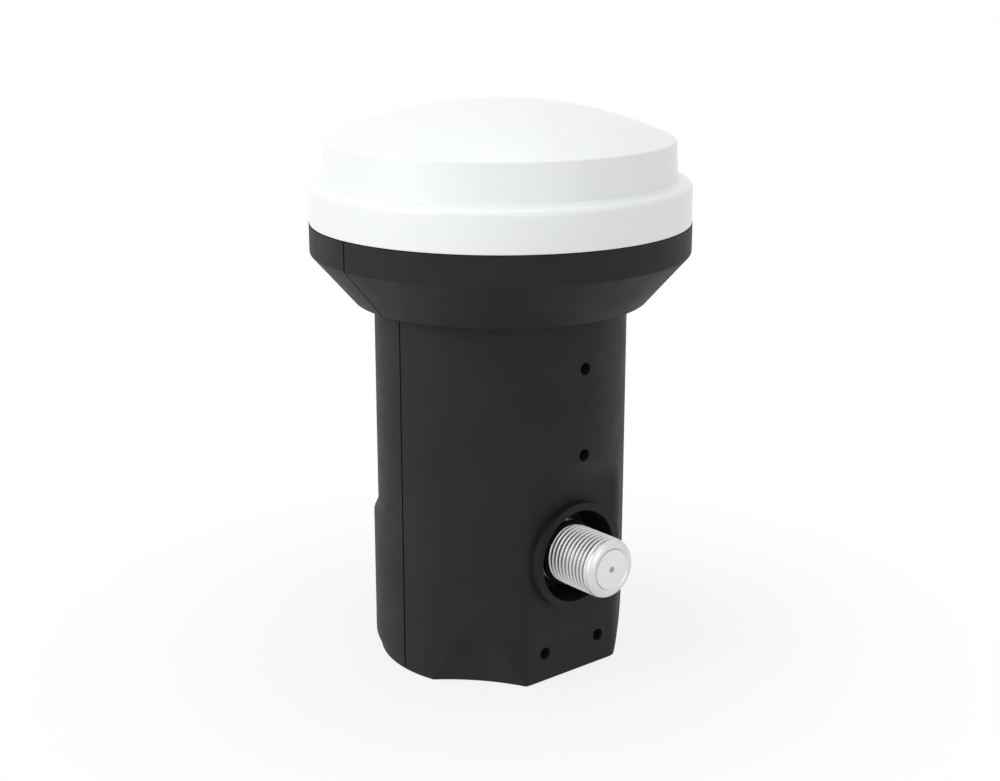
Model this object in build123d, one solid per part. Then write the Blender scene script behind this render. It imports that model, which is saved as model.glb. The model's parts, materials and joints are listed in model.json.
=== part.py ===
"""Satellite LNB: a 40 mm neck with a bell and a white cap, round a die-cast feed horn and its board.

Millimetres, +Z up. The origin is the centre of the closed lower end, on the axis of the neck.
The connector points along -Y, and the two half shells part on the plane Y = 0.
"""

import os
from math import acos, asin, degrees, sqrt

from build123d import *

# Neck, lower end and connector flat
neck_radius = 20.0
body_wall = 2.0
neck_height = 58.65
base_edge_round = 0.45
neck_draft = 0.05
holder_seat_gap = 0.3
flat_depth = 2.35
flat_height = 29.05
flat_run_out_radius = 10.0
flat_edge_round = 4.0

# Dished finger reliefs at the lower end, one each side of the flat
relief_height = 12.0
relief_depth = 2.63
relief_lead = 1.5
relief_angle = 50.2
relief_radius = 32.0

# Swell of the back of the neck, from nothing at the parting plane
swell_raise = 2.0
swell_height = 24.9
swell_ramp = 2.3
swell_base_round = 2.1
swell_side_draft = 0.1

# Bell and rim
bell_foot_step = 3.1
bell_height = 7.75
bell_edge_round = 0.6
rim_height = 4.45
rim_edge_round = 0.5
parting_groove_width = 0.3
parting_groove_depth = 0.25

# Cap
cap_radius = 30.0
rim_step = 0.1
cap_wall = 1.9
cap_lift = 0.2
cap_skirt_height = 6.65
cap_shoulder_round = 1.0
cap_shoulder_width = 2.5
cap_collar_draft = 0.35
cap_collar_height = 5.9
cap_crease_round = 0.4
cap_edge_round = 0.3
cap_groove_size = 0.3
dome_rise = 5.9

# Spigot that carries the cap, and its seal ring
cap_fit = 0.15
spigot_wall = 2.0
seal_section = 1.2
seal_fit = 0.05
seal_height = 2.4

# Drain holes
drain_radius = 1.0
neck_drain_rise = 7.95
neck_drain_pitch = 13.7
flat_drain_height = 4.8
flat_drain_spread = 5.65

# Connector
connector_height = 20.2
connector_reach = 9.0
nose_round = 1.2
thread_radius = 4.7625
thread_length = 8.55
relief_groove_length = 0.6
relief_groove_radius = 4.1
hexagon_across_flats = 10.0
hexagon_thickness = 4.0
shank_radius = 3.8
shank_length = 8.0
insulator_radius = 3.17
insulator_length = 12.4
insulator_recess = 0.07
insulator_tail_radius = 2.0
contact_radius = 0.9
contact_hole_radius = 0.5
contact_socket_depth = 8.0
contact_setback = 1.2
pin_radius = 0.5

# Well round the connector
well_radius = 7.4
collar_radius = 8.6
collar_raise = 1.4
well_floor_thickness = 1.5
connector_seal_radius = 5.2

# Waveguide and horn
waveguide_radius = 8.5
waveguide_wall = 1.5
tube_wall = 1.4
back_short_gap = 1.6
back_short_thickness = 2.0
horn_wall = 2.0
ring_wall = 1.4
middle_ring_radius = 17.2
horn_clearance = 0.65
horn_top_gap = 0.3
middle_ring_drop = 2.0
mouth_drop = 4.0

# Board tray, board and lid
tray_thickness = 2.5
tray_margin = 2.0
tray_foot_gap = 3.0
tray_top_gap = 3.65
boss_radius = 5.6
web_thickness = 2.4
board_thickness = 0.8
board_margin = 1.0
lid_margin = 1.5
lid_headroom = 1.6
lid_thickness = 1.2
lid_clearance = 1.1
screw_radius = 1.0
screw_grip = 2.2
screw_head_radius = 1.7
screw_head_height = 1.1
post_wall = 0.8

# Probes in the waveguide
probe_radius = 0.6
probe_depth = 5.5
probe_tail = 0.7
sleeve_radius = 1.75
sleeve_proud = 0.4
vertical_probe_drop = 5.5
horizontal_probe_rise = 6.0
horizontal_probe_offset = 3.0
horizontal_probe_depth = 3.0
horizontal_probe_bend = 1.5
horizontal_probe_arm = 5.0
rod_radius = 0.8

# Components on the board: width, height and thickness, and their places from the connector, probes or lid
component_gap = 0.45
stage_size = (2.0, 1.25, 0.7)
stage_offset = 3.2
second_stage_offset = 3.8
converter_size = (4.0, 4.0, 0.9)
converter_offset = 1.2
converter_rise = 4.3
crystal_size = (3.2, 2.5, 0.8)
crystal_offset = 3.2
crystal_rise = 3.3
supply_drop = 5.5
regulator_size = (4.5, 2.5, 1.4)
inductor_size = (3.0, 3.0, 1.4)
small_part_size = (1.0, 0.5, 0.5)
small_part_pitch = 1.4

# Fits
press_fit = 0.02
slip_fit = 0.1
hole_clearance = 0.1
lip_thickness = 1.2
lip_overlap = 2.0
rib_thickness = 1.6
rib_spread = 5.0

# Places that follow from the sizes above
shell_inside = neck_radius - body_wall
flat_offset = neck_radius - flat_depth
flat_run_out_height = sqrt(flat_depth * (2 * flat_run_out_radius - flat_depth))
holder_seat_bottom = flat_height + flat_run_out_height + holder_seat_gap
neck_foot_radius = neck_radius - neck_draft
neck_drain_heights = [flat_height + neck_drain_rise + step * neck_drain_pitch for step in range(2)]
bell_foot_radius = neck_radius + bell_foot_step
rim_radius = cap_radius - rim_step
rim_bottom = neck_height + bell_height
rim_top = rim_bottom + rim_height
bell_floor = neck_height + body_wall
bell_slope = (rim_radius - bell_foot_radius) / bell_height
bell_wall_across = body_wall * sqrt(1 + bell_slope**2)
bell_floor_radius = bell_foot_radius + body_wall * bell_slope - bell_wall_across

cap_collar_foot_radius = cap_radius - cap_shoulder_width
cap_collar_top_radius = cap_collar_foot_radius - cap_collar_draft
cap_bottom = rim_top + cap_lift
shoulder_top = cap_bottom + cap_skirt_height
shoulder_underside = shoulder_top - cap_wall
collar_top = shoulder_top + cap_collar_height
cap_top = collar_top + dome_rise
dome_radius = (cap_collar_top_radius**2 + dome_rise**2) / (2 * dome_rise)
dome_centre = cap_top - dome_radius
skirt_inside = cap_radius - cap_wall
spigot_radius = skirt_inside - cap_fit
spigot_inside = spigot_radius - spigot_wall
seal_seat_radius = skirt_inside - seal_section

connector_tip = flat_offset + connector_reach
thread_start = connector_tip - nose_round - thread_length
hexagon_front = thread_start - relief_groove_length
hexagon_back = hexagon_front - hexagon_thickness
well_back = hexagon_back - well_floor_thickness
boss_front = well_back - slip_fit
shank_end = hexagon_back - shank_length
insulator_end = connector_tip - insulator_length

back_short_bottom = connector_height + collar_radius + back_short_gap
waveguide_floor = back_short_bottom + back_short_thickness
tube_radius = waveguide_radius + tube_wall
horn_radius = spigot_inside - horn_clearance
horn_top = shoulder_underside - horn_top_gap
middle_ring_top = horn_top - middle_ring_drop
mouth_top = middle_ring_top - mouth_drop

board_seat = waveguide_radius + waveguide_wall
board_face = board_seat + board_thickness
lid_underside = board_face + lid_headroom
lid_top = lid_underside + lid_thickness
lid_half_width = sqrt((shell_inside - lid_clearance) ** 2 - lid_top**2)
lid_inside = lid_half_width - lid_thickness
tray_half_width = lid_half_width + tray_margin
tray_bottom = body_wall + tray_foot_gap
tray_top = bell_floor - tray_top_gap
board_bottom = tray_bottom + board_margin
board_top = tray_top - board_margin
lid_bottom = board_bottom + lid_margin
lid_height_top = board_top - lid_margin
lid_middle = (lid_bottom + lid_height_top) / 2
post_radius = screw_head_radius + post_wall
screw_places = [
    (side * (lid_half_width - post_radius), height)
    for side in (-1, 1)
    for height in (lid_bottom + post_radius, lid_middle, lid_height_top - post_radius)
]
vertical_probe_height = lid_height_top - vertical_probe_drop
horizontal_probe_height = waveguide_floor + horizontal_probe_rise
rod_height = (vertical_probe_height + horizontal_probe_height) / 2
supply_height = connector_height - supply_drop
supply_row = [regulator_size[0], small_part_size[0], inductor_size[0]]
supply_row_end = sum(supply_row) / 2 + component_gap
regulator_place = -supply_row_end + regulator_size[0] / 2
inductor_place = supply_row_end - inductor_size[0] / 2
supply_part_place = inductor_place - inductor_size[0] / 2 - component_gap - small_part_size[0] / 2
small_part_place = -lid_inside + component_gap + small_part_size[0] / 2
small_part_reach = small_part_pitch + small_part_size[1] / 2
small_part_heights = [lid_middle - post_radius - component_gap - small_part_reach, rod_height]

# Planes: the half section of the turned parts, the connector's axis, and the neck's middle section
half_section = Plane.XZ
connector_axis = Plane(origin=(0, 0, connector_height), x_dir=(1, 0, 0), z_dir=(0, -1, 0))
middle_section = Plane(origin=(0, 0, 0), x_dir=(0, -1, 0), z_dir=(-1, 0, 0))

# Lengths that only have to reach past the object
beyond = 2 * cap_radius
skin = 0.5


def block(low, high):
    """A box from its lowest to its highest corner."""
    size = [b - a for a, b in zip(low, high)]
    return Pos(*low) * Box(*size, align=(Align.MIN, Align.MIN, Align.MIN))


def along_connector(radius, start, end):
    """A cylinder on the connector's axis, between two distances from the neck's axis."""
    rod = Cylinder(radius, end - start, align=(Align.CENTER, Align.CENTER, Align.MIN))
    return connector_axis * Pos(0, 0, start) * rod


def along_y(radius, x, z, start, end):
    """A cylinder along Y through the point x, z."""
    rod = Cylinder(radius, end - start, align=(Align.CENTER, Align.CENTER, Align.MIN))
    return Pos(x, start, z) * Rot(-90, 0, 0) * rod


def rounded_face(points, rounds):
    """A flat face with the corners listed in rounds, as point to radius, rounded."""
    face = make_face(Polyline(*points, close=True)).face()
    for point, radius in rounds.items():
        corner = face.vertices().sort_by_distance(Vector(*point))[0]
        face = face.fillet_2d(radius, [corner])
    return face


def turned(face, angle=360):
    """A half section in radius and height, turned about the neck's axis."""
    return revolve(half_section * face, axis=Axis.Z, revolution_arc=angle)


def ring(outside, inside, bottom, top):
    """A plain ring about the neck's axis."""
    points = [(inside, bottom), (outside, bottom), (outside, top), (inside, top)]
    return turned(rounded_face(points, {}))


def body_outline():
    """Outside of both shells together: neck, bell, rim and the spigot with its seal groove."""
    groove_bottom = rim_top + seal_height - seal_section / 2 - seal_fit
    groove_top = groove_bottom + seal_section + 2 * seal_fit
    foot = (bell_foot_radius, neck_height)
    rim_foot = (rim_radius, rim_bottom)
    points = [
        (0, 0),
        (neck_foot_radius, 0),
        (neck_radius, holder_seat_bottom),
        (neck_radius, neck_height),
        foot,
        rim_foot,
        (rim_radius, rim_top),
        (spigot_radius, rim_top),
        (spigot_radius, groove_bottom),
        (seal_seat_radius, groove_bottom),
        (seal_seat_radius, groove_top),
        (spigot_radius, groove_top),
        (spigot_radius, shoulder_underside),
        (0, shoulder_underside),
    ]
    return rounded_face(points, {foot: bell_edge_round, rim_foot: rim_edge_round})


def cavity_outline():
    """Hollow inside both shells: neck, bell and spigot, open at the top."""
    cone_top = bell_floor + (spigot_inside - bell_floor_radius) / bell_slope
    points = [
        (0, body_wall),
        (shell_inside, body_wall),
        (shell_inside, bell_floor),
        (bell_floor_radius, bell_floor),
        (spigot_inside, cone_top),
        (spigot_inside, shoulder_underside + skin),
        (0, shoulder_underside + skin),
    ]
    return rounded_face(points, {})


def flat_cutter(offset):
    """What lies outside the connector flat at this offset, with its concave run-out above."""
    turn = degrees(acos(1 - (neck_radius + skin - offset) / flat_run_out_radius))
    run_out = JernArc((offset, flat_height), (0, 1), flat_run_out_radius, -turn)
    end = run_out @ 1
    rest = Polyline(
        end,
        (beyond, end.Y),
        (beyond, -beyond),
        (offset, -beyond),
        (offset, flat_height),
    )
    return extrude(middle_section * make_face([run_out, rest]), amount=beyond, both=True)


def relief_cutters(wall):
    """Reliefs of both sides: part rings that bend in from just above the relief's top to the base."""
    top = relief_height + relief_lead
    chord = (relief_height**2 + 2 * relief_height * relief_lead) / relief_depth
    run = (chord + relief_depth) / 2
    bend = sqrt(run**2 + relief_lead**2)
    middle = neck_radius - run
    section = Pos(middle + bend + relief_radius, 0, top) * Circle(relief_radius + wall)
    cutter = revolve(section, axis=Axis((middle, 0, top), (0, 1, 0)), revolution_arc=90)
    cutter = Rot(0, 0, relief_angle - 90) * cutter
    return cutter + mirror(cutter, about=Plane.YZ)


def back_swell(radius, bottom):
    """Half ellipse behind the parting plane, as wide as this radius, with a ramp at its top."""
    shoulder = swell_height - swell_ramp
    top = swell_height + swell_ramp
    full = Ellipse(radius, radius + swell_raise)
    least = Ellipse(radius - swell_side_draft, radius - swell_raise)
    column = extrude(Pos(0, 0, bottom) * full, shoulder - bottom)
    ramp = loft([Pos(0, 0, shoulder) * full, Pos(0, 0, top) * least])
    return (column + ramp) & block((-beyond, 0, bottom), (beyond, beyond, top))


def parting_groove():
    """Fine groove all round the outside where the two shells meet."""
    inset = parting_groove_depth
    core = [
        (0, 0),
        (neck_foot_radius - inset, 0),
        (neck_radius - inset, holder_seat_bottom),
        (neck_radius - inset, neck_height + inset),
        (bell_foot_radius - inset, neck_height + inset),
        (rim_radius - inset, rim_bottom + inset),
        (rim_radius - inset, rim_top),
        (0, rim_top),
    ]
    half = parting_groove_width / 2
    slab = block((-beyond, -half, 0), (beyond, half, rim_top))
    return slab - turned(rounded_face(core, {}))


def both_shells():
    """The hollow body before it is parted into its two halves."""
    body = turned(body_outline()) - flat_cutter(flat_offset)
    flat_edges = [
        edge
        for edge in body.edges()
        if edge.center().Y < -flat_offset + skin and edge.bounding_box().size.Z > skin
        and edge.bounding_box().max.Z < flat_height + flat_run_out_radius
    ]
    body = fillet(flat_edges, flat_edge_round) - relief_cutters(0)
    body = fillet(body.edges().group_by(Axis.Z)[0], base_edge_round)
    swell = back_swell(neck_radius, 0)
    base_arc = swell.edges().filter_by(GeomType.ELLIPSE).group_by(Axis.Z)[0]
    body += fillet(base_arc, swell_base_round)
    hollow = turned(cavity_outline()) - flat_cutter(flat_offset - body_wall)
    hollow += back_swell(shell_inside - swell_side_draft, body_wall)
    hollow -= relief_cutters(body_wall)
    return body - hollow - parting_groove()


def front_shell(shells):
    """Half with the connector's flat, collar and well, the drain holes and the casting's ribs."""
    half = shells & block((-beyond, -beyond, -skin), (beyond, 0, cap_top))
    half += along_connector(collar_radius, well_back, flat_offset + collar_raise)
    rib_end = sqrt(tube_radius**2 - rib_spread**2) + slip_fit
    for side in (-1, 1):
        middle = side * rib_spread
        half += block(
            (middle - rib_thickness / 2, -shell_inside + skin, flat_height + flat_run_out_radius),
            (middle + rib_thickness / 2, -rib_end, neck_height),
        ) - ring(tube_radius + slip_fit, 0, 0, neck_height)
    half -= along_connector(well_radius, hexagon_back, beyond)
    half -= along_connector(shank_radius + hole_clearance, well_back - skin, hexagon_back + skin)
    for height in neck_drain_heights:
        half -= along_y(drain_radius, 0, height, -neck_radius - skin, -shell_inside + skin)
    flat_outside = -flat_offset - skin
    flat_inside = -flat_offset + body_wall + skin
    for side in (-1, 1):
        half -= along_y(drain_radius, side * flat_drain_spread, flat_drain_height, flat_outside, flat_inside)
    return half


def rear_shell(shells):
    """Half with the swollen back, a locating lip inside the front half, and ribs beside the tray."""
    half = shells & block((-beyond, 0, -skin), (beyond, beyond, cap_top))
    lip_inside = shell_inside - lip_thickness
    lip_bottom = body_wall + slip_fit
    root = ring(shell_inside + skin, lip_inside, lip_bottom, neck_height)
    tongue = ring(shell_inside - slip_fit, lip_inside, lip_bottom, neck_height)
    half += root & block((-beyond, 0, 0), (beyond, lip_overlap, neck_height))
    half += tongue & block((-beyond, -lip_overlap, 0), (beyond, skin, neck_height))
    inner = ring(neck_radius - skin, 0, body_wall, tray_top)
    for side in (-1, 1):
        near, far = sorted((side * (tray_half_width + slip_fit), side * neck_radius))
        rib = block((near, board_seat - tray_thickness, 0), (far, board_seat, tray_top))
        half += rib & inner
    return half


def radome_cap():
    """White cap: skirt, shoulder, drafted collar and a shallow spherical dome."""
    inner_dome = dome_radius - cap_wall
    inner_top_radius = cap_collar_top_radius - cap_wall
    outer_angle = degrees(asin(cap_collar_top_radius / dome_radius))
    inner_angle = degrees(asin(inner_top_radius / inner_dome))
    outer_arc = CenterArc((0, dome_centre), dome_radius, 90 - outer_angle, outer_angle)
    inner_arc = CenterArc((0, dome_centre), inner_dome, 90 - inner_angle, inner_angle)
    shoulder = (cap_radius, shoulder_top)
    outside_edge = (cap_radius, cap_bottom)
    walls = Polyline(
        inner_arc @ 0,
        (cap_collar_foot_radius - cap_wall, shoulder_underside),
        (skirt_inside, shoulder_underside),
        (skirt_inside, cap_bottom),
        outside_edge,
        shoulder,
        (cap_collar_foot_radius, shoulder_top),
        outer_arc @ 0,
    )
    face = make_face([outer_arc, walls, inner_arc, Line(outer_arc @ 1, inner_arc @ 1)]).face()
    rounds = {
        shoulder: cap_shoulder_round,
        outside_edge: cap_edge_round,
        (cap_collar_top_radius, collar_top): cap_crease_round,
    }
    for point, radius in rounds.items():
        corner = face.vertices().sort_by_distance(Vector(*point))[0]
        face = face.fillet_2d(radius, [corner])
    groove = ring(
        cap_collar_foot_radius + cap_groove_size,
        cap_collar_foot_radius - cap_groove_size / 2,
        shoulder_top - cap_groove_size,
        shoulder_top,
    )
    return turned(face) - groove


def cap_seal():
    """Square rubber ring in the spigot's groove."""
    bottom = rim_top + seal_height - seal_section / 2
    return ring(skirt_inside - seal_fit, seal_seat_radius + seal_fit, bottom, bottom + seal_section)


def horn_outline():
    """Half section of the horn: waveguide tube, floor, cup and choke rings."""
    foot_radius = bell_floor_radius - horn_clearance
    cone_top = bell_floor + (horn_radius - foot_radius) / bell_slope
    floor_top = bell_floor + horn_wall
    cup_inside = horn_radius - ring_wall
    points = [
        (0, back_short_bottom),
        (tube_radius, back_short_bottom),
        (tube_radius, bell_floor),
        (foot_radius, bell_floor),
        (horn_radius, cone_top),
        (horn_radius, horn_top),
        (cup_inside, horn_top),
        (cup_inside, cone_top + horn_wall / 2),
        (foot_radius - horn_wall / 4, floor_top),
        (middle_ring_radius, floor_top),
        (middle_ring_radius, middle_ring_top),
        (middle_ring_radius - ring_wall, middle_ring_top),
        (middle_ring_radius - ring_wall, floor_top),
        (tube_radius, floor_top),
        (tube_radius, mouth_top),
        (waveguide_radius, mouth_top),
        (waveguide_radius, waveguide_floor),
        (0, waveguide_floor),
    ]
    return rounded_face(points, {})


def horn_casting():
    """Die-cast horn with its board tray, connector boss and the bores for probes and screws."""
    tray = block(
        (-tray_half_width, board_seat - tray_thickness, tray_bottom),
        (tray_half_width, board_seat, tray_top),
    )
    web = block(
        (-web_thickness / 2, -boss_front / 2, connector_height),
        (web_thickness / 2, board_seat - tray_thickness / 2, back_short_bottom + skin),
    )
    casting = turned(horn_outline()) + tray + web
    casting += along_connector(boss_radius, -board_seat + tray_thickness / 2, boss_front)
    casting -= Pos(0, 0, waveguide_floor) * Cylinder(
        waveguide_radius, mouth_top - waveguide_floor, align=(Align.CENTER, Align.CENTER, Align.MIN)
    )
    casting -= along_connector(shank_radius + press_fit, shank_end - slip_fit, beyond)
    casting -= along_connector(insulator_tail_radius, -board_seat - skin, shank_end)
    for x, height in (
        (0, vertical_probe_height),
        (-horizontal_probe_offset, horizontal_probe_height),
    ):
        casting -= along_y(sleeve_radius + press_fit, x, height, waveguide_radius / 2, board_seat + skin)
    rod_hole = Pos(0, 0, rod_height) * Rot(0, 90, 0) * Cylinder(rod_radius + press_fit, 2 * tube_radius)
    casting -= rod_hole
    tray_back = board_seat - tray_thickness
    for x, height in screw_places:
        casting -= along_y(screw_radius + press_fit, x, height, tray_back - skin, board_seat + skin)
    return casting


def main_board():
    """Circuit board on the tray, drilled for the contact pin, the probes and the screws."""
    board = block(
        (-tray_half_width + board_margin, board_seat, board_bottom),
        (tray_half_width - board_margin, board_face, board_top),
    )
    holes = [
        (0, connector_height, pin_radius),
        (0, vertical_probe_height, probe_radius),
        (-horizontal_probe_offset, horizontal_probe_height, probe_radius),
    ]
    holes += [(x, height, screw_radius) for x, height in screw_places]
    for x, height, radius in holes:
        board -= along_y(radius + hole_clearance, x, height, board_seat - skin, board_face + skin)
    return board


def shield_cover():
    """Die-cast lid over the board: a rim wall, a partition and six screw posts."""
    outside = block(
        (-lid_half_width, board_face, lid_bottom),
        (lid_half_width, lid_top, lid_height_top),
    )
    room = block(
        (-lid_inside, board_face - skin, lid_bottom + lid_thickness),
        (lid_inside, lid_underside, lid_height_top - lid_thickness),
    )
    lid = outside - room
    lid += block(
        (-lid_half_width, board_face, lid_middle - lid_thickness / 2),
        (lid_half_width, lid_top, lid_middle + lid_thickness / 2),
    )
    for x, height in screw_places:
        lid += along_y(post_radius, x, height, board_face, lid_top)
    head_seat = lid_top - screw_head_height
    for x, height in screw_places:
        lid -= along_y(screw_radius + hole_clearance, x, height, board_face - skin, lid_top)
        lid -= along_y(screw_head_radius + hole_clearance, x, height, head_seat, lid_top + skin)
    return lid


def cover_screw(x, height):
    """One lid screw, with its head sunk in the post."""
    seat = lid_top - screw_head_height
    screw = along_y(screw_head_radius, x, height, seat, lid_top)
    screw += along_y(screw_radius, x, height, board_seat - screw_grip, seat)
    slot = block(
        (x - screw_head_radius, lid_top - screw_head_height / 2, height - screw_radius / 4),
        (x + screw_head_radius, lid_top, height + screw_radius / 4),
    )
    return screw - slot


def probe_sleeve(x, height):
    """Insulating sleeve in the wall between board and waveguide."""
    inner_end = sqrt(waveguide_radius**2 - x**2) - sleeve_proud
    sleeve = along_y(sleeve_radius, x, height, inner_end, board_seat)
    return sleeve - along_y(probe_radius + press_fit, x, height, inner_end - skin, board_seat + skin)


def vertical_probe():
    """Straight pin from the board into the waveguide."""
    tip = waveguide_radius - probe_depth
    return along_y(probe_radius, 0, vertical_probe_height, tip, board_face + probe_tail)


def horizontal_probe():
    """Pin that turns across the waveguide after it has passed the wall."""
    x = -horizontal_probe_offset
    height = horizontal_probe_height
    depth = sqrt(waveguide_radius**2 - x**2) - horizontal_probe_depth
    path = FilletPolyline(
        (x, board_face + probe_tail, height),
        (x, depth, height),
        (x + horizontal_probe_arm, depth, height),
        radius=horizontal_probe_bend,
    )
    section = Plane(origin=path @ 0, z_dir=path % 0) * Circle(probe_radius)
    return sweep(section, path=path)


def isolation_rod():
    """Rod across the waveguide, held in both tube walls."""
    reach = waveguide_radius + tube_wall / 2
    return Pos(0, 0, rod_height) * Rot(0, 90, 0) * Cylinder(rod_radius, 2 * reach)


def connector_body():
    """Coaxial connector: round-nosed barrel at the thread's outer diameter, hexagon and shank."""
    nose_corner = (thread_radius, connector_tip)
    points = [
        (0, shank_end),
        (shank_radius, shank_end),
        (shank_radius, hexagon_back),
        (relief_groove_radius, hexagon_back),
        (relief_groove_radius, thread_start),
        (thread_radius, thread_start),
        nose_corner,
        (0, connector_tip),
    ]
    section = rounded_face(points, {nose_corner: nose_round})
    body = connector_axis * revolve(half_section * section, axis=Axis.Z)
    hexagon = extrude(RegularPolygon(hexagon_across_flats / 2, 6, major_radius=False), hexagon_thickness)
    body += connector_axis * Pos(0, 0, hexagon_back) * Rot(0, 0, 30) * hexagon
    body -= along_connector(insulator_radius + press_fit, insulator_end, beyond)
    body -= along_connector(insulator_tail_radius + press_fit, shank_end - skin, insulator_end + skin)
    return body


def connector_insulator():
    """White disc in the connector's mouth, with a tail that carries the contact."""
    disc = along_connector(insulator_radius, insulator_end, connector_tip - insulator_recess)
    disc += along_connector(insulator_tail_radius, shank_end, insulator_end)
    disc -= along_connector(contact_hole_radius, insulator_end, beyond)
    contact_front = connector_tip - contact_setback
    return disc - along_connector(contact_radius + press_fit, shank_end - skin, contact_front)


def connector_contact():
    """Socket behind the insulator's hole, and the pin that runs on to the board."""
    front = connector_tip - contact_setback
    contact = along_connector(contact_radius, shank_end, front)
    contact -= along_connector(contact_hole_radius, front - contact_socket_depth, beyond)
    return contact + along_connector(pin_radius, -board_face - probe_tail, shank_end)


def connector_seal():
    """Rubber ring in the groove between hexagon and thread, which the plug's nut presses on."""
    bore = relief_groove_radius + slip_fit
    seal = along_connector(connector_seal_radius, hexagon_front, thread_start)
    return seal - along_connector(bore, hexagon_front - skin, thread_start + skin)


def package(size, x, z):
    """A component of this width, height and thickness that lies on the board."""
    width, height, thickness = size
    return block(
        (x - width / 2, board_face, z - height / 2),
        (x + width / 2, board_face + thickness, z + height / 2),
    )


def amplifier_transistors():
    """One low-noise stage beside each probe, and the second stage between them."""
    places = [
        (stage_offset, vertical_probe_height),
        (second_stage_offset, rod_height),
        (stage_offset - horizontal_probe_offset, horizontal_probe_height),
    ]
    return [package(stage_size, x, z) for x, z in places]


def chip_parts():
    """Rows of small capacitors and resistors beside the larger parts."""
    places = [
        (small_part_place, middle + step * small_part_pitch)
        for middle in small_part_heights
        for step in (-1, 0, 1)
    ]
    places += [(supply_part_place, supply_height + step * small_part_pitch) for step in (-1, 0, 1)]
    return [package(small_part_size, x, z) for x, z in places]


def build():
    """All nodes by name; a list is a group of separate solids."""
    shells = both_shells()
    converter = package(converter_size, -converter_offset, connector_height + converter_rise)
    crystal = package(crystal_size, crystal_offset, connector_height + crystal_rise)
    regulator = package(regulator_size, regulator_place, supply_height)
    inductor = package(inductor_size, inductor_place, supply_height)
    return {
        "radome_cap": radome_cap(),
        "cap_seal": cap_seal(),
        "front_shell": front_shell(shells),
        "rear_shell": rear_shell(shells),
        "horn_casting": horn_casting(),
        "main_board": main_board(),
        "shield_cover": shield_cover(),
        "cover_screws": [cover_screw(x, height) for x, height in screw_places],
        "vertical_probe": vertical_probe(),
        "vertical_probe_sleeve": probe_sleeve(0, vertical_probe_height),
        "horizontal_probe": horizontal_probe(),
        "horizontal_probe_sleeve": probe_sleeve(-horizontal_probe_offset, horizontal_probe_height),
        "isolation_rod": isolation_rod(),
        "connector_body": connector_body(),
        "connector_insulator": connector_insulator(),
        "connector_contact": connector_contact(),
        "connector_seal": connector_seal(),
        "amplifier_transistors": amplifier_transistors(),
        "converter_chip": converter,
        "reference_crystal": crystal,
        "voltage_regulator": regulator,
        "supply_inductor": inductor,
        "chip_parts": chip_parts(),
    }


os.makedirs("parts", exist_ok=True)
for name, shape in build().items():
    solids = shape if isinstance(shape, list) else [shape]
    export_step(Compound([solid for piece in solids for solid in piece.solids()]), f"parts/{name}.step")
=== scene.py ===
import json
from math import asin, atan2, cos, floor, pi, radians, sin, sqrt, tan, tau

import bmesh
import bpy
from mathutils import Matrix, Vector


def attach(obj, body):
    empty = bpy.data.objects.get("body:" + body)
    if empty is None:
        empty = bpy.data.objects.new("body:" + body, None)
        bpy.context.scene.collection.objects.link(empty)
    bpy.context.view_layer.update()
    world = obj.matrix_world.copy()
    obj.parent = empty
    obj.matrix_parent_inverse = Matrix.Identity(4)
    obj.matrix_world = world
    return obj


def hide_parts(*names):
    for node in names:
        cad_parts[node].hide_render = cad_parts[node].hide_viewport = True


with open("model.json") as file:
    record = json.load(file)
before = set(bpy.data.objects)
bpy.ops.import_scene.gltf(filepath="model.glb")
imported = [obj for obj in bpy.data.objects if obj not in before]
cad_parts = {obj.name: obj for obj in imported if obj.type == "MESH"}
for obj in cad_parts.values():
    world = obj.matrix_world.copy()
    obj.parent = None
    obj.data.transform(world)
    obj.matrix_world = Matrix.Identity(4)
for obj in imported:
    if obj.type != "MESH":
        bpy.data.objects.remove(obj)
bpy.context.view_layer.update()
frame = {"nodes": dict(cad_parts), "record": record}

MM = 0.001
MICRON = 0.000001
SHARP_ANGLE = radians(28)
nodes = frame["nodes"]
scene = bpy.context.scene

# Connector sizes in millimetres: distances from the neck's axis, and radii about the connector's axis
CONNECTOR_Z = 20.2
SHANK_END, HEX_BACK, HEX_FRONT = 4.3, 12.3, 16.3
THREAD_START, NOSE_START, THREAD_END, TIP = 16.9, 25.25, 25.8, 26.65
INSULATOR_END = 14.25
SHANK_R, GROOVE_R, NOSE_DROP = 3.8, 4.1, 1.2
MAJOR_R, MINOR_R, PITCH = 4.7625, 4.29, 0.79375
BORE_R, TAIL_BORE_R = 3.19, 2.02
NOSE_LENGTH = TIP - NOSE_START
HEX_FLATS = 10.0
SHANK_CHAMFER, GROOVE_CHAMFER = 0.3, 0.25
HEX_CHAMFER, HEX_CORNER_LEFT = 0.35, 0.25
MOUTH_WIDTH, MOUTH_START, MOUTH_DEPTH = 0.32, 0.01, 0.25

# Thread form: flat root and flank as shares of half a pitch, and the slope of its lead chamfer
ROOT_SHARE, FLANK_SHARE, LEAD_SLOPE = 0.16, 0.66, 1.2
# Depth below the crest at which the painted shade in the thread's roots begins
ROOT_SHADE_START = 0.15

# Cap sizes in millimetres: radii and heights, with the shoulder's fall and rounds as seen in the photo
CAP_BOTTOM, SHOULDER_UNDERSIDE, SHOULDER_TOP = 70.95, 75.8, 77.7
COLLAR_TOP, CAP_TOP, CAP_WALL = 83.6, 89.5, 1.9
SKIRT_R, SKIRT_BORE_R = 29.8, 28.1
COLLAR_FOOT_R, COLLAR_TOP_R = 27.5, 27.15
SHOULDER_FALL, SHOULDER_ROUND, FOOT_ROUND = 0.55, 1.15, 0.25
CREASE_ROUND, EDGE_ROUND = 0.4, 0.1

# Fineness of the two meshes: steps about the axis and along their curves
CONNECTOR_STEPS, ROWS_PER_TURN, NOSE_STEPS = 144, 16, 12
CAP_STEPS, DOME_STEPS, CAP_BORE_STEPS, ROUND_STEPS = 192, 48, 24, 10
WELD_DISTANCE = 0.0000005

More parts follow.
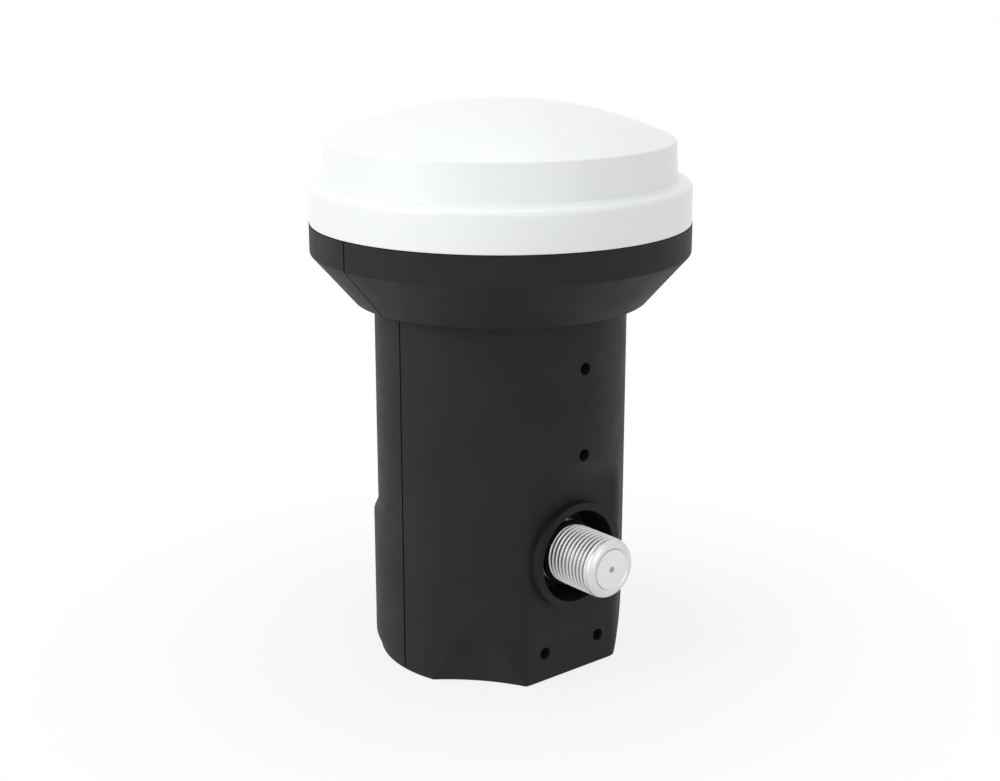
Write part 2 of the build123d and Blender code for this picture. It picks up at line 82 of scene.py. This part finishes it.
# Stage, in metres and degrees: floor, the white share it shows by distance, and the camera of the photo
FLOOR_R, FLOOR_SIDES = 1.6, 96
WHITE_LEAST, WHITE_FROM, WHITE_TO = 0.82, 0.03, 0.09
CAMERA_DISTANCE, CAMERA_HEIGHT = 0.261, 0.1166
CAMERA_HEADING, CAMERA_DIP = -40, 15.75
LENS, SENSOR, SHIFT = 60.59, 36.0, -0.00055
AIM = (0, 0, 0.05)

# The middle of a noise, which is where nearly all of its values lie
NOISE_LOW, NOISE_HIGH = 0.2, 0.8


# Materials

def new_material(name):
    """A node material with a Principled shader; gives the material, its node tree and the shader."""
    mat = bpy.data.materials.new(name)
    mat.use_nodes = True
    tree = mat.node_tree
    return mat, tree, tree.nodes["Principled BSDF"]


def node(tree, kind, **values):
    """Adds a node and sets its properties, or its inputs where a name starts with a capital."""
    made = tree.nodes.new("ShaderNode" + kind)
    for key, value in values.items():
        if key[0].isupper():
            made.inputs[key.replace("_", " ")].default_value = value
        else:
            setattr(made, key, value)
    return made


def noise(tree, vector, scale, detail=3.0, roughness=0.55):
    """Noise over the object's own coordinates, with features about 1 / scale metres wide."""
    made = node(tree, "TexNoise", Scale=scale, Detail=detail, Roughness=roughness)
    tree.links.new(vector, made.inputs["Vector"])
    return made.outputs["Fac"]


def spread(tree, value, low, high):
    """Maps the middle of a noise to the range from low to high."""
    made = node(
        tree, "MapRange", interpolation_type="SMOOTHERSTEP",
        From_Min=NOISE_LOW, From_Max=NOISE_HIGH, To_Min=low, To_Max=high,
    )
    tree.links.new(value, made.inputs["Value"])
    return made.outputs["Result"]


def two_tone(tree, value, first, second):
    """A colour between two, by a noise."""
    made = node(tree, "ValToRGB")
    ramp = made.color_ramp
    ramp.interpolation = "EASE"
    for stop, position, colour in zip(ramp.elements, (NOISE_LOW, NOISE_HIGH), (first, second)):
        stop.position = position
        stop.color = (*colour, 1)
    tree.links.new(value, made.inputs["Fac"])
    return made.outputs["Color"]


def bump(tree, shader, heights):
    """Joins several heights, each with its depth in micrometres, into the shader's normal."""
    normal = None
    for height, depth in heights:
        made = node(tree, "Bump", Strength=1.0, Distance=depth * MICRON)
        tree.links.new(height, made.inputs["Height"])
        if normal:
            tree.links.new(normal, made.inputs["Normal"])
        normal = made.outputs["Normal"]
    tree.links.new(normal, shader.inputs["Normal"])


def moulded(name, dark, light, rough, grain, grain_depth, specular=0.5):
    """Moulded plastic or rubber: faint flow tone, uneven gloss and a fine tool grain."""
    mat, tree, shader = new_material(name)
    place = node(tree, "TexCoord").outputs["Object"]
    flow = noise(tree, place, scale=60, detail=4)
    fine = noise(tree, place, scale=grain, detail=2)
    gloss = noise(tree, place, scale=180, detail=4)
    tree.links.new(two_tone(tree, flow, dark, light), shader.inputs["Base Color"])
    tree.links.new(spread(tree, gloss, *rough), shader.inputs["Roughness"])
    bump(tree, shader, [(fine, grain_depth)])
    shader.inputs["Specular IOR Level"].default_value = specular
    return mat


def polished(name, dark, light, rough):
    """Plastic from a polished mould: slow changes of tone and gloss, and a faint flow in the surface."""
    mat, tree, shader = new_material(name)
    place = node(tree, "TexCoord").outputs["Object"]
    flow = noise(tree, place, scale=25, detail=0)
    tone = noise(tree, place, scale=40, detail=0)
    tree.links.new(two_tone(tree, tone, dark, light), shader.inputs["Base Color"])
    tree.links.new(spread(tree, flow, *rough), shader.inputs["Roughness"])
    bump(tree, shader, [(flow, 2)])
    return mat


def metal(name, dark, light, rough, grain, grain_depth):
    """Cast, plated or rolled metal with uneven tone and a fine surface grain."""
    mat, tree, shader = new_material(name)
    place = node(tree, "TexCoord").outputs["Object"]
    tone = noise(tree, place, scale=240, detail=5)
    gloss = noise(tree, place, scale=500, detail=4)
    fine = noise(tree, place, scale=grain, detail=3)
    tree.links.new(two_tone(tree, tone, dark, light), shader.inputs["Base Color"])
    tree.links.new(spread(tree, gloss, *rough), shader.inputs["Roughness"])
    bump(tree, shader, [(fine, grain_depth)])
    shader.inputs["Metallic"].default_value = 1.0
    return mat


def turned_nickel(name):
    """Nickel plate on turned brass: fine rings about the connector's axis, and painted shade in the
    thread's roots.
    """
    mat, tree, shader = new_material(name)
    place = node(tree, "TexCoord").outputs["Object"]

    # Radius about the connector's axis and place along it
    centred = node(tree, "VectorMath", operation="SUBTRACT")
    centred.inputs[1].default_value = (0, 0, CONNECTOR_Z * MM)
    tree.links.new(place, centred.inputs[0])
    split = node(tree, "SeparateXYZ")
    tree.links.new(centred.outputs["Vector"], split.inputs["Vector"])
    across = node(tree, "CombineXYZ")
    tree.links.new(split.outputs["X"], across.inputs["X"])
    tree.links.new(split.outputs["Z"], across.inputs["Z"])
    radius = node(tree, "VectorMath", operation="LENGTH")
    tree.links.new(across.outputs["Vector"], radius.inputs[0])
    rings = node(tree, "CombineXYZ")
    tree.links.new(radius.outputs["Value"], rings.inputs["X"])
    tree.links.new(split.outputs["Y"], rings.inputs["Y"])
    marks = noise(tree, rings.outputs["Vector"], scale=9000, detail=3)

    # Bright plate, and painted shade in the thread's roots: a near-black tone that ends before the nose
    plate_noise = noise(tree, place, scale=300, detail=4)
    root_shade_noise = noise(tree, place, scale=900, detail=3)
    plate = two_tone(tree, plate_noise, (0.63, 0.63, 0.625), (0.70, 0.70, 0.695))
    # The near-black root colour is painted shade, standing in for the shade that falls in the thread's
    # grooves
    root = two_tone(tree, root_shade_noise, (0.05, 0.05, 0.05), (0.09, 0.09, 0.09))
    depth = node(
        tree, "MapRange", From_Min=(MAJOR_R - ROOT_SHADE_START) * MM, From_Max=MINOR_R * MM,
    )
    tree.links.new(radius.outputs["Value"], depth.inputs["Value"])
    behind_nose = node(
        tree, "MapRange", From_Min=-THREAD_END * MM, From_Max=-(THREAD_END - PITCH) * MM,
    )
    tree.links.new(split.outputs["Y"], behind_nose.inputs["Value"])
    share = node(tree, "Math", operation="MULTIPLY")
    tree.links.new(depth.outputs["Result"], share.inputs[0])
    tree.links.new(behind_nose.outputs["Result"], share.inputs[1])

    # The colour inputs of a Mix node are its sockets 6 and 7, and its colour output is socket 2
    tone = node(tree, "Mix", data_type="RGBA")
    tree.links.new(share.outputs["Value"], tone.inputs[0])
    tree.links.new(plate, tone.inputs[6])
    tree.links.new(root, tone.inputs[7])
    tree.links.new(tone.outputs[2], shader.inputs["Base Color"])
    tree.links.new(spread(tree, marks, 0.40, 0.48), shader.inputs["Roughness"])
    bump(tree, shader, [(marks, 3)])
    shader.inputs["Metallic"].default_value = 1.0
    return mat


def laminate(name):
    """Green board: solder mask over a faint glass weave, with paler copper pours under it."""
    mat, tree, shader = new_material(name)
    place = node(tree, "TexCoord").outputs["Object"]
    pours = node(tree, "TexVoronoi", feature="F1", distance="CHEBYCHEV", Scale=260.0)
    tree.links.new(place, pours.inputs["Vector"])
    weave = node(tree, "TexWave", bands_direction="DIAGONAL", Scale=600.0, Distortion=1.0)
    tree.links.new(place, weave.inputs["Vector"])
    gloss = noise(tree, place, scale=800, detail=3)
    tone = two_tone(tree, pours.outputs["Distance"], (0.012, 0.10, 0.045), (0.03, 0.17, 0.08))
    tree.links.new(tone, shader.inputs["Base Color"])
    tree.links.new(spread(tree, gloss, 0.28, 0.42), shader.inputs["Roughness"])
    bump(tree, shader, [(weave.outputs["Fac"], 6), (pours.outputs["Distance"], 20)])
    return mat


# One finish for each slot, with the grain per metre and its depth in micrometres
finishes = {
    "shell_plastic": moulded(
        "black_shell", dark=(0.0095, 0.0095, 0.0100), light=(0.0125, 0.0125, 0.0130),
        rough=(0.57, 0.65), grain=3200, grain_depth=6, specular=0.22,
    ),
    "cap_plastic": polished(
        "white_cap", dark=(0.845, 0.864, 0.872), light=(0.858, 0.877, 0.885), rough=(0.26, 0.30),
    ),
    "nickel": turned_nickel("turned_nickel"),
    "insulator_plastic": moulded(
        "white_insulator", dark=(0.90, 0.90, 0.89), light=(0.94, 0.94, 0.93),
        rough=(0.4, 0.5), grain=2600, grain_depth=4,
    ),
    "contact_bronze": metal(
        "contact_bronze", dark=(0.55, 0.38, 0.16), light=(0.68, 0.50, 0.25),
        rough=(0.28, 0.42), grain=2500, grain_depth=4,
    ),
    "seal_rubber": moulded(
        "seal_rubber", dark=(0.004, 0.004, 0.004), light=(0.008, 0.008, 0.008),
        rough=(0.7, 0.85), grain=2200, grain_depth=10, specular=0.1,
    ),
    "cast_metal": metal(
        "cast_metal", dark=(0.50, 0.51, 0.52), light=(0.62, 0.63, 0.64),
        rough=(0.42, 0.6), grain=1500, grain_depth=30,
    ),
    "board_laminate": laminate("board_laminate"),
    "screw_steel": metal(
        "zinc_steel", dark=(0.52, 0.53, 0.55), light=(0.64, 0.65, 0.66),
        rough=(0.25, 0.4), grain=3000, grain_depth=5,
    ),
    "probe_brass": metal(
        "probe_brass", dark=(0.62, 0.45, 0.18), light=(0.74, 0.58, 0.28),
        rough=(0.2, 0.35), grain=2600, grain_depth=4,
    ),
    "sleeve_plastic": moulded(
        "white_sleeve", dark=(0.74, 0.74, 0.72), light=(0.80, 0.80, 0.78),
        rough=(0.38, 0.5), grain=2400, grain_depth=5,
    ),
    "chip_plastic": moulded(
        "chip_plastic", dark=(0.016, 0.016, 0.018), light=(0.024, 0.024, 0.026),
        rough=(0.5, 0.65), grain=5200, grain_depth=8,
    ),
    "crystal_can": metal(
        "crystal_can", dark=(0.56, 0.55, 0.52), light=(0.68, 0.67, 0.63),
        rough=(0.25, 0.38), grain=2800, grain_depth=4,
    ),
    "ceramic": moulded(
        "fired_ceramic", dark=(0.30, 0.21, 0.13), light=(0.40, 0.30, 0.20),
        rough=(0.45, 0.6), grain=6000, grain_depth=6,
    ),
}

for part in frame["record"]["subparts"]:
    shown = nodes[part["node"]]
    for index in range(len(shown.data.materials)):
        shown.data.materials[index] = finishes[part["material_slot"]]


# Pieces made here

def finish_piece(mesh, name, node_name, slot):
    """Turns a finished bmesh into the visible form of a node."""
    bmesh.ops.recalc_face_normals(mesh, faces=mesh.faces)
    data = bpy.data.meshes.new(name)
    mesh.to_mesh(data)
    mesh.free()
    data.shade_smooth()
    data.set_sharp_from_angle(angle=SHARP_ANGLE)
    made = bpy.data.objects.new(name, data)
    scene.collection.objects.link(made)
    made.data.materials.append(finishes[slot])
    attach(made, "root")
    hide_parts(node_name)


def about_neck(radius, angle, along):
    """A point about the neck's axis, at a height."""
    return radius * MM * cos(angle), radius * MM * sin(angle), along * MM


def about_connector(radius, angle, along):
    """A point about the connector's axis, at a distance from the neck's axis."""
    return radius * MM * cos(angle), -along * MM, (CONNECTOR_Z + radius * sin(angle)) * MM


def add_face(mesh, corners):
    """Adds a face of three or four different corners, and none where fewer are left."""
    corners = list(dict.fromkeys(corners))
    if len(corners) > 2:
        mesh.faces.new(corners)


def join_rings(mesh, rings, around):
    """Faces between each ring of points and the next; a ring of one point is a pole."""
    for first, second in zip(rings, rings[1:]):
        for i in range(around):
            j = (i + 1) % around
            lower = [first[i % len(first)], first[j % len(first)]]
            upper = [second[j % len(second)], second[i % len(second)]]
            add_face(mesh, lower + upper)


def turned(profile, around, place):
    """A mesh of rings about an axis, from a profile that runs from pole to pole."""
    mesh = bmesh.new()
    rings = []
    for radius, along in profile:
        count = around if radius > 0 else 1
        angles = [tau * i / count for i in range(count)]
        rings.append([mesh.verts.new(place(radius, angle, along)) for angle in angles])
    join_rings(mesh, rings, around)
    return mesh


# Connector with its thread

def hexagon_radius(angle):
    """Distance from the axis to a hexagon with corners at the top and bottom."""
    from_flat = (angle + pi / 6) % (pi / 3) - pi / 6
    return HEX_FLATS / 2 / cos(from_flat)


def chamfered_radius(angle):
    """The same for an end face of the hexagon, whose corners are turned off."""
    return min(hexagon_radius(angle), HEX_FLATS / 2 + HEX_CORNER_LEFT)


def thread_radius(phase):
    """Radius of a 60 degree thread at a share of its pitch, with flat crests and roots."""
    height = abs(2 * (phase % 1) - 1)
    return MINOR_R + (MAJOR_R - MINOR_R) * min(max((height - ROOT_SHARE) / FLANK_SHARE, 0), 1)


def nose_radius(reach):
    """Radius of the barrel with its oval nose."""
    share = max(reach - NOSE_START, 0) / NOSE_LENGTH
    return MAJOR_R - NOSE_DROP * (1 - sqrt(1 - share**2))


def thread_place(angle, row):
    """Radius and reach of a point in the helical rows, which stop at the planes of the thread's ends.

    The thread rises along its lead chamfer, follows the nose, and its last groove runs out.
    """
    turn = angle / tau
    reach = THREAD_START + PITCH * (row / ROWS_PER_TURN + turn - 1)
    held = min(max(reach, THREAD_START), THREAD_END)
    phase = (held - THREAD_START) / PITCH - turn
    groove_reach = THREAD_START + PITCH * (floor(phase) + 0.5 + turn)
    run_out = min(max(2 * (THREAD_END - groove_reach) / PITCH, 0), 1)
    radius = MAJOR_R - (MAJOR_R - thread_radius(phase)) * run_out
    lead = MINOR_R + LEAD_SLOPE * (held - THREAD_START)
    return min(radius, nose_radius(held), lead), held


def back_profile():
    """Radii and reaches from the tail over shank, hexagon and groove to the thread."""
    return [
        (TAIL_BORE_R, SHANK_END),
        (SHANK_R - SHANK_CHAMFER, SHANK_END),
        (SHANK_R, SHANK_END + SHANK_CHAMFER),
        (SHANK_R, HEX_BACK),
        (chamfered_radius, HEX_BACK),
        (hexagon_radius, HEX_BACK + HEX_CHAMFER),
        (hexagon_radius, HEX_FRONT - HEX_CHAMFER),
        (chamfered_radius, HEX_FRONT),
        (GROOVE_R + GROOVE_CHAMFER, HEX_FRONT),
        (GROOVE_R, HEX_FRONT + GROOVE_CHAMFER),
        (GROOVE_R, THREAD_START),
    ]


def nose_profile():
    """Radii and reaches from the thread's end round the oval nose and back through the bore."""
    first_turn = asin((THREAD_END - NOSE_START) / NOSE_LENGTH)
    points = []
    for step in range(1, NOSE_STEPS + 1):
        turn = first_turn + (pi / 2 - first_turn) * step / NOSE_STEPS
        radius = MAJOR_R - NOSE_DROP * (1 - cos(turn))
        points.append((radius, NOSE_START + NOSE_LENGTH * sin(turn)))
    return points + [
        (BORE_R + MOUTH_WIDTH, TIP - MOUTH_START),
        (BORE_R, TIP - MOUTH_DEPTH),
        (BORE_R, INSULATOR_END),
        (TAIL_BORE_R, INSULATOR_END),
    ]


def threaded_connector():
    """One closed mesh: shank, hexagon, groove, helical thread, nose, front face and bore."""
    mesh = bmesh.new()
    angles = [tau * i / CONNECTOR_STEPS for i in range(CONNECTOR_STEPS)]

    def point(angle, radius, reach):
        if callable(radius):
            radius = radius(angle)
        return mesh.verts.new(about_connector(radius, angle, reach))

    def lathe(profile):
        return [[point(a, radius, reach) for a in angles] for radius, reach in profile]

    back = lathe(back_profile())
    row_count = int(ROWS_PER_TURN * ((THREAD_END - THREAD_START) / PITCH + 1)) + 2
    rows = [[point(a, *thread_place(a, row)) for a in angles] for row in range(row_count)]
    for row in range(row_count - 1):
        for i in range(CONNECTOR_STEPS):
            if i + 1 < CONNECTOR_STEPS:
                right = [rows[row][i + 1], rows[row + 1][i + 1]]
            else:
                turn_on = [min(row + step + ROWS_PER_TURN, row_count - 1) for step in (0, 1)]
                right = [rows[next_row][0] for next_row in turn_on]
            add_face(mesh, [rows[row][i], *right, rows[row + 1][i]])

    nose = lathe(nose_profile())
    join_rings(mesh, back + [rows[0]], CONNECTOR_STEPS)
    join_rings(mesh, [rows[-1]] + nose + [back[0]], CONNECTOR_STEPS)
    bmesh.ops.remove_doubles(mesh, verts=mesh.verts, dist=WELD_DISTANCE)
    bmesh.ops.dissolve_degenerate(mesh, edges=mesh.edges, dist=WELD_DISTANCE)
    return mesh


finish_piece(threaded_connector(), "threaded_connector", "connector_body", "nickel")


# Cap with its rounded shoulder

def arc_points(radius, centre_z, end_angle, steps):
    """Points of a dome from its pole down to an angle from the axis."""
    angles = [end_angle * step / steps for step in range(steps + 1)]
    return [(radius * sin(angle), centre_z + radius * cos(angle)) for angle in angles]


def rounded(before, corner, after, size):
    """An arc of this size in place of a corner of the profile."""
    place = Vector(corner)
    back = (Vector(before) - place).normalized()
    ahead = (Vector(after) - place).normalized()
    half = back.angle(ahead) / 2
    centre = place + (back + ahead).normalized() * size / sin(half)
    start = place + back * size / tan(half) - centre
    end = place + ahead * size / tan(half) - centre
    first = atan2(start.y, start.x)
    turn = (atan2(end.y, end.x) - first + pi) % tau - pi
    angles = [first + turn * step / ROUND_STEPS for step in range(ROUND_STEPS + 1)]
    return [(centre.x + size * cos(angle), centre.y + size * sin(angle)) for angle in angles]


def cap_profile():
    """Half section of the cap, from the dome's pole round the skirt to the pole inside."""
    rise = CAP_TOP - COLLAR_TOP
    dome_r = (COLLAR_TOP_R**2 + rise**2) / (2 * rise)
    bore_r = dome_r - CAP_WALL
    centre = CAP_TOP - dome_r
    dome = arc_points(dome_r, centre, asin(COLLAR_TOP_R / dome_r), DOME_STEPS)
    bore = arc_points(bore_r, centre, asin((COLLAR_TOP_R - CAP_WALL) / bore_r), CAP_BORE_STEPS)
    crease = dome.pop()
    foot = (COLLAR_FOOT_R, SHOULDER_TOP)
    shoulder = (SKIRT_R, SHOULDER_TOP - SHOULDER_FALL)
    edge = (SKIRT_R, CAP_BOTTOM)
    mouth = (SKIRT_BORE_R, CAP_BOTTOM)
    return [
        *dome,
        *rounded(dome[-1], crease, foot, CREASE_ROUND),
        *rounded(crease, foot, shoulder, FOOT_ROUND),
        *rounded(foot, shoulder, edge, SHOULDER_ROUND),
        *rounded(shoulder, edge, mouth, EDGE_ROUND),
        mouth,
        (SKIRT_BORE_R, SHOULDER_UNDERSIDE),
        (COLLAR_FOOT_R - CAP_WALL, SHOULDER_UNDERSIDE),
        *reversed(bore),
    ]


turned_cap = turned(cap_profile(), CAP_STEPS, about_neck)
finish_piece(turned_cap, "turned_cap", "radome_cap", "cap_plastic")


# Stage: pale floor, soft light and a white background

def seen_directly(tree):
    """One for the camera, mirrors and glass, and nothing for light that falls on the object."""
    path = node(tree, "LightPath")
    level = path.outputs["Is Camera Ray"]
    for name in ("Is Glossy Ray", "Is Transmission Ray"):
        either = node(tree, "Math", operation="MAXIMUM")
        tree.links.new(level, either.inputs[0])
        tree.links.new(path.outputs[name], either.inputs[1])
        level = either.outputs["Value"]
    return level


def pale_floor():
    """A plain disc that goes white away from the object and takes its shadow close to it."""
    mat, tree, shader = new_material("pale_floor")
    place = node(tree, "TexCoord").outputs["Object"]
    mottle = noise(tree, place, scale=30, detail=3)
    tone = two_tone(tree, mottle, (0.80, 0.80, 0.80), (0.82, 0.82, 0.82))
    tree.links.new(tone, shader.inputs["Base Color"])
    shader.inputs["Roughness"].default_value = 0.9
    shader.inputs["Specular IOR Level"].default_value = 0.1
    glow = node(tree, "Emission", Color=(1, 1, 1, 1), Strength=1.0)
    mix = node(tree, "MixShader")
    away = node(tree, "VectorMath", operation="LENGTH")
    tree.links.new(place, away.inputs[0])
    white = node(
        tree, "MapRange", interpolation_type="SMOOTHSTEP",
        From_Min=WHITE_FROM, From_Max=WHITE_TO, To_Min=WHITE_LEAST,
    )
    tree.links.new(away.outputs["Value"], white.inputs["Value"])
    share = node(tree, "Math", operation="MULTIPLY")
    tree.links.new(seen_directly(tree), share.inputs[0])
    tree.links.new(white.outputs["Result"], share.inputs[1])
    tree.links.new(share.outputs["Value"], mix.inputs["Fac"])
    tree.links.new(shader.outputs["BSDF"], mix.inputs[1])
    tree.links.new(glow.outputs["Emission"], mix.inputs[2])
    tree.links.new(mix.outputs["Shader"], tree.nodes["Material Output"].inputs["Surface"])
    mesh = bmesh.new()
    bmesh.ops.create_circle(mesh, cap_ends=True, segments=FLOOR_SIDES, radius=FLOOR_R)
    data = bpy.data.meshes.new("floor")
    mesh.to_mesh(data)
    mesh.free()
    disc = bpy.data.objects.new("floor", data)
    scene.collection.objects.link(disc)
    disc.data.materials.append(mat)


def white_world(light):
    """White where it is seen or mirrored, and a softer grey as light on the object."""
    world = bpy.data.worlds.new("studio")
    scene.world = world
    world.use_nodes = True
    tree = world.node_tree
    level = node(tree, "MapRange", To_Min=light, To_Max=1.0)
    tree.links.new(seen_directly(tree), level.inputs["Value"])
    background = tree.nodes["Background"]
    background.inputs["Color"].default_value = (1, 1, 1, 1)
    tree.links.new(level.outputs["Result"], background.inputs["Strength"])


def soft_light(name, place, size, power):
    """A square area lamp aimed at the middle of the object."""
    lamp = bpy.data.lights.new(name, "AREA")
    lamp.shape = "SQUARE"
    lamp.size = size
    lamp.energy = power
    made = bpy.data.objects.new(name, lamp)
    made.location = place
    made.rotation_euler = (Vector(AIM) - Vector(place)).to_track_quat("-Z", "Y").to_euler()
    scene.collection.objects.link(made)


def photo_camera():
    """The camera of the photograph, worked out from the round edges of neck and cap."""
    data = bpy.data.cameras.new("camera")
    data.lens = LENS
    data.sensor_width = SENSOR
    data.shift_x = SHIFT
    data.clip_start, data.clip_end = 0.01, 10
    camera = bpy.data.objects.new("camera", data)
    heading = radians(CAMERA_HEADING)
    camera.location = (
        CAMERA_DISTANCE * sin(heading), -CAMERA_DISTANCE * cos(heading), CAMERA_HEIGHT,
    )
    camera.rotation_euler = (radians(90 - CAMERA_DIP), 0, heading)
    scene.collection.objects.link(camera)
    scene.camera = camera


pale_floor()
white_world(light=0.48)
soft_light("overhead", place=(0.0, 0.05, 0.75), size=0.6, power=1.85)
soft_light("left_key", place=(-0.68, 0.18, 0.35), size=0.5, power=2.55)
soft_light("front_fill", place=(-0.15, -0.63, 0.30), size=0.5, power=0.85)
photo_camera()
scene.view_settings.view_transform = "Standard"
